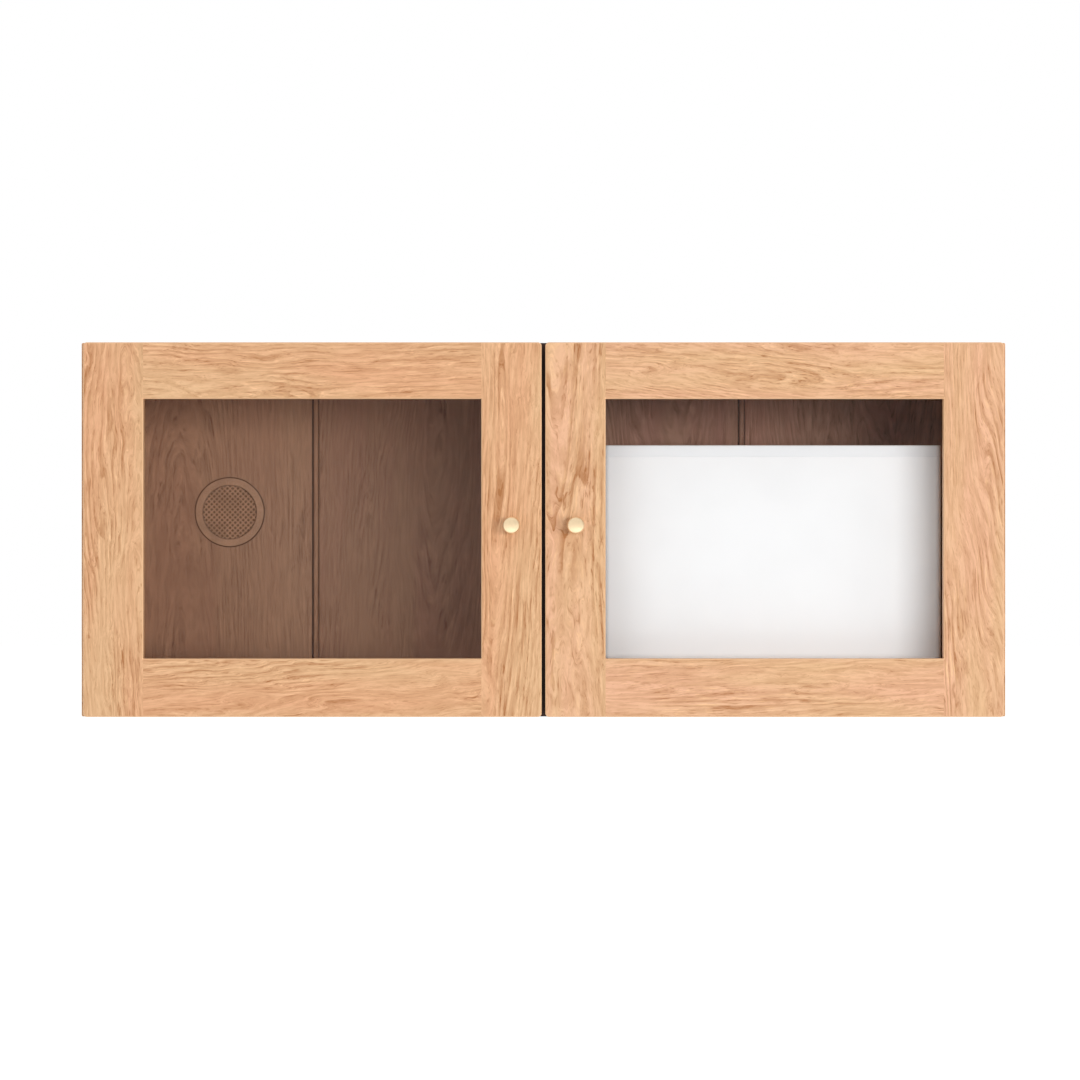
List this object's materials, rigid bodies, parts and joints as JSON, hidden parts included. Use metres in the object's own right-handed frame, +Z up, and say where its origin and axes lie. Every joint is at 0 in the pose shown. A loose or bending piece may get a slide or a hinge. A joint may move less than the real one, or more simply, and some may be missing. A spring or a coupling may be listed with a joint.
{
  "type": "wall mounted showcase",
  "caption": "Shallow wall-hung oak showcase with side-hinged glazed doors, beaded back boards, a round vent grille, an inner white display plinth and a bevelled hanging cleat.",
  "frame": {"origin": "middle of the wall cleat's back face, on the line of its wall screws", "axes": "+X to the viewer's right along the wall, +Y into the wall, +Z up; the doors face -Y"},
  "size_m": [0.989, 0.343, 0.4],
  "materials": {
    "door_oak": "satin lacquered oak",
    "case_oak": "satin lacquered oak",
    "cleat": "plain hardwood",
    "dowel": "fluted beech",
    "back_board": "satin brown stained boards",
    "vent_ring": "brown satin paint",
    "vent_mesh": "brown satin paint",
    "filter": "dark felt",
    "plinth": "matt white painted board",
    "glass": "clear float glass",
    "brass": "satin",
    "steel": "zinc plated",
    "catch": "brown moulded plastic",
    "rubber": "clear soft polyurethane"
  },
  "bodies": {
    "wall_cleat": {"wall_cleat": "cleat"},
    "case": {"back_board_1": "back_board", "back_board_2": "back_board", "back_board_3": "back_board", "back_board_4": "back_board", "back_screws": "steel", "bottom_panel": "case_oak", "carcass_dowels": "dowel", "case_cleat": "cleat", "catch_housings": "catch", "catch_poles": "steel", "cleat_screws": "steel", "left_pivot_brackets": "steel", "partition": "case_oak", "pivot_screws": "steel", "plinth_body": "plinth", "plinth_cap": "plinth", "right_pivot_brackets": "steel", "side_left": "case_oak", "side_right": "case_oak", "top_panel": "case_oak", "vent_filter": "filter", "vent_mesh": "vent_mesh", "vent_retainer": "vent_ring", "vent_ring": "vent_ring"},
    "left_door": {"left_bead_bottom": "door_oak", "left_bead_hinge": "door_oak", "left_bead_knob": "door_oak", "left_bead_top": "door_oak", "left_bottom_rail": "door_oak", "left_bumpers": "rubber", "left_glass": "glass", "left_hinge_stile": "door_oak", "left_knob": "brass", "left_knob_screw": "steel", "left_knob_stile": "door_oak", "left_pivot_bushes": "brass", "left_strike_plate": "steel", "left_top_rail": "door_oak"},
    "right_door": {"right_bead_bottom": "door_oak", "right_bead_hinge": "door_oak", "right_bead_knob": "door_oak", "right_bead_top": "door_oak", "right_bottom_rail": "door_oak", "right_bumpers": "rubber", "right_glass": "glass", "right_hinge_stile": "door_oak", "right_knob": "brass", "right_knob_screw": "steel", "right_knob_stile": "door_oak", "right_pivot_bushes": "brass", "right_strike_plate": "steel", "right_top_rail": "door_oak"}
  },
  "joints": [
    {"name": "case_lift", "type": "slide", "parent": "wall_cleat", "child": "case", "axis": [0, 0, 1], "range_m": [0, 0.02]},
    {"name": "left_door_hinge", "type": "hinge", "parent": "case", "child": "left_door", "pos_m": [-0.482, -0.31, -0.1025], "axis": [0, 0, -1], "range_deg": [0, 100]},
    {"name": "right_door_hinge", "type": "hinge", "parent": "case", "child": "right_door", "pos_m": [0.482, -0.31, -0.1025], "axis": [0, 0, 1], "range_deg": [0, 100]}
  ]
}
